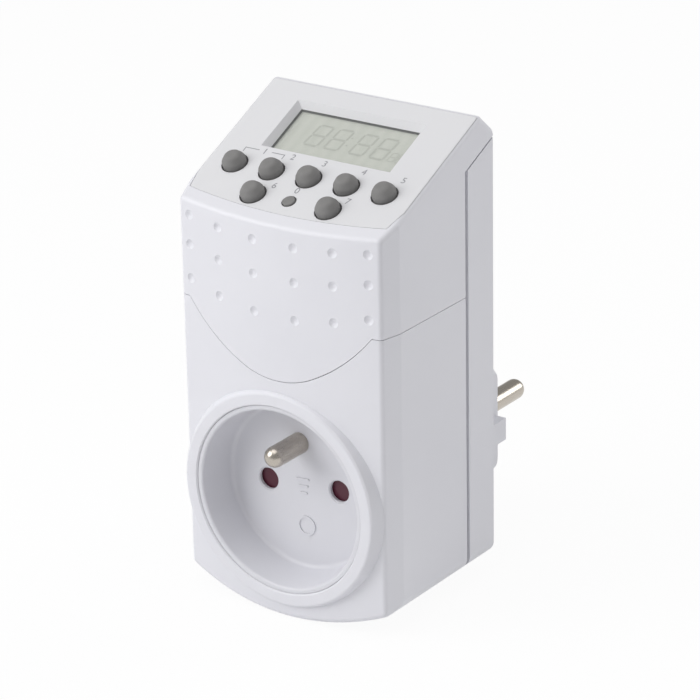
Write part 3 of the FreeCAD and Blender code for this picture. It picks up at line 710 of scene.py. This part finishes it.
@dataclass
class Display:
    """The display with its faint unlit segments and a dark frame of painted shade round its window."""

    shelf: Shelf
    plane: PanelPlane
    centre_up: float = 22.9
    level: float = -2.17
    digit_height: float = 6.4
    digit_width: float = 3.5
    stroke: float = 0.62
    slant: float = 0.12
    lift: float = 0.02
    bar_gap: float = 0.08
    digit_lift: float = 0.4    # lower edge of the digits above their centred place
    digit_lefts: tuple[float, ...] = (-9.5, -4.2, 2.3, 7.6)
    small_lefts: tuple[float, ...] = (12.2, 14.1)
    small_scale: float = 0.42
    dot_left: float = 0.25
    dot_length: float = 0.8
    dot_rises: tuple[float, ...] = (2.02, 4.42)
    window: tuple[float, float] = (31.0, 12.8)
    glass: tuple[float, float] = (33.2, 15.0)

    def mask(self) -> None:
        """Lay painted shade round the display: a dark flat frame between the window's and the glass's outlines, which
        stands in for the shadow under the window's edges.
        """
        corners = np.array([[-1, -1], [1, -1], [1, 1], [-1, 1]]) / 2
        outer = corners * np.array(self.glass)
        inner = corners * np.array(self.window)
        flat = np.vstack([outer, inner]) + np.array([0, self.centre_up])
        faces = [(k, (k + 1) % 4, 4 + (k + 1) % 4, 4 + k) for k in range(4)]
        # painted shade: this dark frame stands in for the shadow under the window's edges
        piece = mesh_object("display_painted_shade_frame", self.plane.lay(flat, self.level + self.lift), faces, smooth=False)
        settle(piece, "housing", self.shelf.get(Stock.MASK_INK))

    def segment(self, a: tuple[float, float], b: tuple[float, float]) -> Array:
        """Draw a hexagonal bar from a to b, whose ends taper to points.

        Args:
            a: start, in millimetres.
            b: end, in millimetres.

        Returns:
            Six corner points in millimetres.
        """
        start, end = np.array(a), np.array(b)
        way = (end - start) / np.linalg.norm(end - start)
        side = np.array([-way[1], way[0]]) * self.stroke / 2
        inset = way * self.stroke / 2
        start, end = start + way * self.bar_gap, end - way * self.bar_gap
        return np.array([start, start + inset - side, end - inset - side, end, end - inset + side,
                         start + inset + side])

    def digit(self, x: float, up: float, scale: float) -> list[Array]:
        """Draw all seven bars of one slanted digit.

        Args:
            x: the digit's left edge.
            up: its lower edge.
            scale: its size against the large digits.

        Returns:
            The bars' corners in millimetres.
        """
        w, h = self.digit_width, self.digit_height
        ends = [((0, h), (w, h)), ((0, h / 2), (w, h / 2)), ((0, 0), (w, 0)), ((0, 0), (0, h / 2)),
                ((0, h / 2), (0, h)), ((w, 0), (w, h / 2)), ((w, h / 2), (w, h))]
        bars = []
        for a, b in ends:
            bar = self.segment(a, b) * scale
            bar[:, 0] += bar[:, 1] * self.slant + x
            bar[:, 1] += up
            bars.append(bar)
        return bars

    def build(self) -> None:
        """Lay the segments on the display glass, then the frame of painted shade round it."""
        bars: list[Array] = []
        low = self.centre_up - self.digit_height / 2 + self.digit_lift
        for x in self.digit_lefts:
            bars += self.digit(x, low, 1.0)
        for x in self.small_lefts:
            bars += self.digit(x, low, self.small_scale)
        for rise in self.dot_rises:
            bars.append(self.segment((0.0, 0.0), (self.dot_length, 0.0)) + np.array([self.dot_left, low + rise]))
        corners = len(bars[0])
        faces = [tuple(range(corners * k, corners * (k + 1))) for k in range(len(bars))]
        points = self.plane.lay(np.vstack(bars), self.level + self.lift)
        piece = mesh_object("display_segments", points, faces, smooth=False)
        settle(piece, "housing", self.shelf.get(Stock.GHOST_SEGMENTS))
        # the dark frame of painted shade round the window
        self.mask()


@dataclass
class Legends:
    """Plain numbers and guide lines printed on the panel."""

    shelf: Shelf
    plane: PanelPlane
    number_height: float = 1.75
    upper_numbers: tuple[float, ...] = (-14.7, -7.3, 1.0, 11.2, 21.3)
    upper_level: float = 12.9
    lower_numbers: tuple[float, ...] = (-6.4, 12.6)
    lower_level: float = 3.9
    reset_number: float = -0.4
    reset_level: float = 3.8
    size_factor: float = 1.38    # letter size over digit height
    line_width: float = 0.2
    film: float = 0.02
    left_line: tuple[tuple[float, float], ...] = ((-19.9, 12.6), (-19.9, 13.8), (-16.4, 13.8))
    right_line: tuple[tuple[float, float], ...] = ((-12.9, 13.8), (-9.6, 13.8), (-9.6, 12.6))

    def number(self, text: str, x: float, up: float) -> None:
        """Print one number as a flat mesh.

        Args:
            text: the digits.
            x: centre along the panel, in millimetres.
            up: lower edge up the slope, in millimetres.
        """
        curve = bpy.data.curves.new(f"print_{text}", "FONT")
        curve.body = text
        curve.size = self.number_height * self.size_factor * MM
        curve.align_x = "CENTER"
        letters = link(f"print_{text}", curve)
        bpy.context.view_layer.update()
        mesh = bpy.data.meshes.new_from_object(letters)
        bpy.data.objects.remove(letters)
        mesh.transform(Matrix.Translation(Vector((x, up, self.film)) * MM))
        mesh.transform(self.plane.matrix())
        settle(link(f"printed_number_{text}", mesh), "housing", self.shelf.get(Stock.LEGEND_INK))

    def line(self, name: str, route: tuple[tuple[float, float], ...]) -> None:
        """Print a thin line along a route of points on the panel.

        Each run is a flat strip, its half width to each side of the run, lengthened to fill the corners.

        Args:
            name: the piece's name.
            route: corner places in millimetres.
        """
        points, faces = [], []
        for a, b in zip(route[:-1], route[1:]):
            start, end = np.array(a), np.array(b)
            way = (end - start) / np.linalg.norm(end - start)
            side = np.array([-way[1], way[0]]) * self.line_width / 2
            start, end = start - way * self.line_width / 2, end + way * self.line_width / 2
            base = len(points)
            points += [start - side, end - side, end + side, start + side]
            faces.append((base, base + 1, base + 2, base + 3))
        piece = mesh_object(name, self.plane.lay(np.array(points), self.film), faces, smooth=False)
        settle(piece, "housing", self.shelf.get(Stock.LEGEND_INK))

    def build(self) -> None:
        """Print the numbers above the keys and the lines that link pairs of them."""
        for number, x in enumerate(self.upper_numbers, 1):
            self.number(str(number), x, self.upper_level)
        for number, x in enumerate(self.lower_numbers, 6):
            self.number(str(number), x, self.lower_level)
        self.number("0", self.reset_number, self.reset_level)
        self.line("printed_line_left", self.left_line)
        self.line("printed_line_right", self.right_line)


@dataclass
class ShutterSpring:
    """The coil behind the shutter."""

    frame: dict
    shelf: Shelf
    turn: float = 4.3        # the socket's turn about Y, in degrees
    wire: float = 0.2        # the wire's radius
    radius: float = 0.7      # the coil's radius
    turns: int = 4
    slack: float = 0.35      # how much shorter than the CAD node the coil is at each end
    overrun: float = 1.2     # a length past the coil's ends, in millimetres
    steps: int = 96
    sides: int = 8

    def tube(self, start: Array, end: Array, up: Array) -> tuple[Array, list[tuple[int, ...]]]:
        """Wind a closed tube about a straight axis.

        Args:
            start: the axis's first point, in millimetres.
            end: its last point, in millimetres.
            up: the direction from the axis to the first turn's start, of length one.

        Returns:
            The points in millimetres, ring by ring, and the faces.
        """
        across = (end - start) / np.linalg.norm(end - start)
        angle = np.linspace(0, 2 * math.pi * self.turns, self.steps + 1)[:, None]
        radial = np.cos(angle) * up + np.sin(angle) * np.cross(up, across)
        share = np.linspace(0, 1, self.steps + 1)[:, None]
        centres = start + share * (end - start) + radial * self.radius
        around = np.linspace(0, 2 * math.pi, self.sides, endpoint=False)
        rings = [centre + self.wire * (np.outer(np.cos(around), out) + np.outer(np.sin(around), across))
                 for centre, out in zip(centres, radial)]
        number = np.arange(len(rings) * self.sides).reshape(len(rings), self.sides)
        after = np.roll(number, -1, axis=1)
        quads = np.stack([number[:-1], after[:-1], after[1:], number[1:]], axis=-1).reshape(-1, 4)
        caps = [tuple(number[0, ::-1].tolist()), tuple(number[-1].tolist())]
        return np.vstack(rings), [tuple(quad) for quad in quads.tolist()] + caps

    def build(self) -> None:
        """Wind the coil where the CAD node lies, in place of the node."""
        node = self.frame["nodes"]["shutter_spring"]
        spots = np.array([tuple(node.matrix_world @ v.co) for v in node.data.vertices]) / MM
        tilt = math.radians(self.turn)
        across = np.array([math.cos(tilt), 0, math.sin(tilt)])
        up = np.array([-math.sin(tilt), 0, math.cos(tilt)])
        middle = np.array([0, 1, 0]) * (spots[:, 1].min() + spots[:, 1].max()) / 2
        low = (spots @ across).min() + self.slack
        high = (spots @ across).max() - self.slack
        points, faces = self.tube(middle + across * low, middle + across * high, up)
        piece = mesh_object("shutter_coil", points * MM, faces)
        piece.data.materials.append(self.shelf.get(Stock.SPRING_WIRE))
        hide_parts("shutter_spring")
        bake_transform(piece)
        LOG.info("made %s between the housing and the shutter, %.1f mm long", piece.name, high - low)


@dataclass
class Dressing:
    """The finish of every CAD node that stays as it is."""

    frame: dict
    shelf: Shelf
    plan: dict[Stock, tuple[str, ...]] = field(default_factory=lambda: {
        Stock.CASE_ABS: ("rear_shell", "lower_front_housing", "upper_front_cover", "plug_body"),
        Stock.PANEL_ABS: ("control_panel",),
        Stock.SOCKET_UREA: ("socket_insert",),
        Stock.SHUTTER_NYLON: ("socket_shutter",),
        Stock.NICKEL: ("socket_earth_pin", "line_pin", "neutral_pin", "plug_earth_clips"),
        Stock.ACRYLIC: ("lcd_lens",),
        Stock.DISPLAY: ("lcd_glass",),
        Stock.FRAME_ABS: ("lcd_frame", "contact_carrier"),
        Stock.STRIP_SILICONE: ("zebra_strips",),
        Stock.MAT_SILICONE: ("keypad_mat",),
        Stock.BOARD: ("control_board", "power_board"),
        Stock.CHIP_EPOXY: ("microcontroller", "board_header", "fuse"),
        Stock.RELAY_PBT: ("relay",),
        Stock.CAPACITOR_BOX: ("film_capacitor",),
        Stock.CAPACITOR_SLEEVE: ("electrolytic_capacitor",),
        Stock.VARISTOR_EPOXY: ("varistor",),
        Stock.CAN_STEEL: ("quartz_crystal", "backup_battery"),
        Stock.SHEET_BRASS: ("line_contact", "neutral_contact", "line_strap", "neutral_strap", "switched_strap",
                            "earth_strap"),
        Stock.SCREW_ZINC: ("housing_screws",)})

    def build(self) -> None:
        """Dress each node on the plan."""
        for stock, nodes in self.plan.items():
            for node in nodes:
                dress(node, self.frame, self.shelf.get(stock))


# Studio

def direction(azimuth: float, elevation: float) -> Vector:
    """Work out a direction as seen from the object.

    Args:
        azimuth: degrees from straight ahead of the front, towards the right side.
        elevation: degrees above the level.

    Returns:
        The direction, of length one.
    """
    a, e = math.radians(azimuth), math.radians(elevation)
    return Vector((math.sin(a) * math.cos(e), -math.cos(a) * math.cos(e), math.sin(e)))


@dataclass
class Camera:
    """The camera, solved from the photograph's outlines, with its lengths in millimetres and angles in degrees."""

    azimuth: float = 35.371
    elevation: float = 21.981
    roll: float = -1.101
    distance: float = 753.4
    target: tuple[float, float, float] = (1.795, -18.4, 26.789)
    focal_px: float = 3444.7
    frame_px: float = 700.0
    sensor: float = 36.0

    def build(self) -> None:
        """Place the camera: it looks at the target from the given side, turned by the roll."""
        back = direction(self.azimuth, self.elevation)
        side, r = math.radians(self.azimuth), math.radians(self.roll)
        right = Vector((math.cos(side), math.sin(side), 0))
        up = back.cross(right)
        place = (Vector(self.target) + back * self.distance) * MM
        x_axis = right * math.cos(r) + up * math.sin(r)
        y_axis = up * math.cos(r) - right * math.sin(r)
        data = bpy.data.cameras.new("camera")
        data.sensor_width = self.sensor
        data.lens = self.focal_px / self.frame_px * self.sensor
        data.clip_start = 0.01
        camera = link("camera", data)
        camera.matrix_world = Matrix((
            (x_axis.x, y_axis.x, back.x, place.x), (x_axis.y, y_axis.y, back.y, place.y),
            (x_axis.z, y_axis.z, back.z, place.z), (0, 0, 0, 1)))
        bpy.context.scene.camera = camera


@dataclass(frozen=True)
class Softbox:
    """One square area lamp that looks at the object, with angles in degrees, lengths in metres and power in watts."""

    name: str
    azimuth: float
    elevation: float
    distance: float
    size: float
    power: float

    def build(self, aim: Vector) -> None:
        """Place the lamp.

        Args:
            aim: the point that it faces, in metres.
        """
        way = direction(self.azimuth, self.elevation)
        data = bpy.data.lights.new(self.name, "AREA")
        data.energy = self.power
        data.size = self.size
        lamp = link(self.name, data)
        lamp.location = aim + way * self.distance
        lamp.rotation_euler = way.to_track_quat("Z", "Y").to_euler()


@dataclass
class Studio:
    """Pale floor, soft lamps and a white world for the camera, with lengths in metres."""

    floor_half: float = 4.0
    floor_drop: float = 0.028
    paper_glow: float = 0.94
    lamps: tuple[Softbox, ...] = (
        Softbox("softbox_front_left", -40.0, 30.0, 0.9, 0.6, 4.2),
        Softbox("softbox_top", -10.0, 78.0, 0.9, 0.8, 3.0),
        Softbox("softbox_right", 145.0, 20.0, 1.2, 0.5, 3.4))
    aim: tuple[float, float, float] = (0.0, -0.02, 0.027)
    world_level: float = 0.38

    def floor_material(self) -> bpy.types.Material:
        """Make white paper, which the camera sees nearly at full white, with the object's shadow kept faint.

        Returns:
            The material.
        """
        material, tree = blank("studio_paper")
        path = add(tree, "LightPath")
        paper = add(tree, "BsdfDiffuse", {"Color": linear("#F2F2F3")})
        glow = add(tree, "Emission", {"Color": (1, 1, 1, 1), "Strength": 1.0})
        seen = combined(tree, "MAXIMUM", path.outputs["Is Camera Ray"], path.outputs["Is Glossy Ray"])
        share = add(tree, "MapRange", {"To Max": self.paper_glow}, {"Value": seen})
        mixed = add(tree, "MixShader", {}, {"Fac": share.outputs[0]})
        tree.links.new(paper.outputs[0], mixed.inputs[1])
        tree.links.new(glow.outputs[0], mixed.inputs[2])
        finish_tree(tree, mixed)
        return material

    def build(self) -> None:
        """Make the floor, the lamps and the world."""
        h, z = self.floor_half, -self.floor_drop
        corners = np.array([[-h, -h, z], [h, -h, z], [h, h, z], [-h, h, z]])
        floor = mesh_object("floor", corners, [(0, 1, 2, 3)], smooth=False)
        floor.data.materials.append(self.floor_material())
        for lamp in self.lamps:
            lamp.build(Vector(self.aim))
        world = bpy.data.worlds.new("studio")
        world.use_nodes = True
        tree = world.node_tree
        tree.nodes.clear()
        path = add(tree, "LightPath")
        level = add(tree, "MapRange", {"To Min": self.world_level, "To Max": 1.0},
                    {"Value": path.outputs["Is Camera Ray"]})
        sky = add(tree, "Background", {"Color": (1, 1, 1, 1)}, {"Strength": level.outputs[0]})
        add(tree, "OutputWorld", {}, {"Surface": sky.outputs[0]})
        bpy.context.scene.world = world
        bpy.context.scene.view_settings.view_transform = "Standard"


def main() -> None:
    """Load the frame, dress it, add the fine pieces and light it."""
    logging.basicConfig(level=logging.INFO, format="%(name)s: %(message)s")
    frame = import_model()
    shelf = Shelf()
    plane = PanelPlane()
    Dressing(frame, shelf).build()
    Keys(shelf, plane).build()
    ShutterSpring(frame, shelf).build()
    Display(shelf, plane).build()
    Legends(shelf, plane).build()
    Camera().build()
    Studio().build()


if __name__ == "__main__":
    main()
